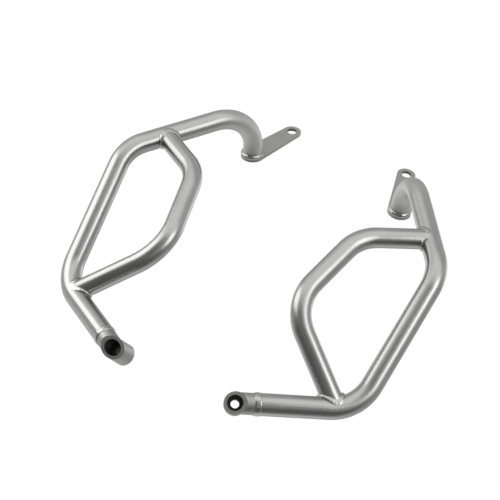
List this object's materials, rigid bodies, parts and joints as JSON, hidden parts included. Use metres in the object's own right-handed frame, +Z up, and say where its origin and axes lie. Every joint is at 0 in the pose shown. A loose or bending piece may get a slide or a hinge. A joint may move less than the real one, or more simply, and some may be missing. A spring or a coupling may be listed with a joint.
{
  "type": "motorcycle crash bars",
  "caption": "Mirrored pair of welded crash bars in bent round tube, each a braced loop with a turned lower boss and a drilled upper plate.",
  "frame": {"origin": "centre of the bounding box's underside: on the plane that the two bars mirror each other in, level with the undersides of the lower bosses", "axes": "+X to the right as seen from the front of the motorcycle, which is the rider's left; +Y to the motorcycle's rear; +Z up, with the lower bolts level"},
  "size_m": [0.472, 0.2899, 0.4372],
  "materials": {
    "tube_steel": "satin, with fine streaks along the tube",
    "boss_steel": "satin, turned",
    "plate_steel": "matt, blasted",
    "weld_metal": "bright, rippled"
  },
  "bodies": {
    "root": {"left_main_tube": "tube_steel", "left_brace_tube": "tube_steel", "left_lower_boss": "boss_steel", "left_upper_plate": "plate_steel", "left_brace_low_weld": "weld_metal", "left_brace_high_weld": "weld_metal", "left_boss_weld": "weld_metal", "left_plate_weld": "weld_metal", "right_main_tube": "tube_steel", "right_brace_tube": "tube_steel", "right_lower_boss": "boss_steel", "right_upper_plate": "plate_steel", "right_brace_low_weld": "weld_metal", "right_brace_high_weld": "weld_metal", "right_boss_weld": "weld_metal", "right_plate_weld": "weld_metal"}
  },
  "joints": []
}
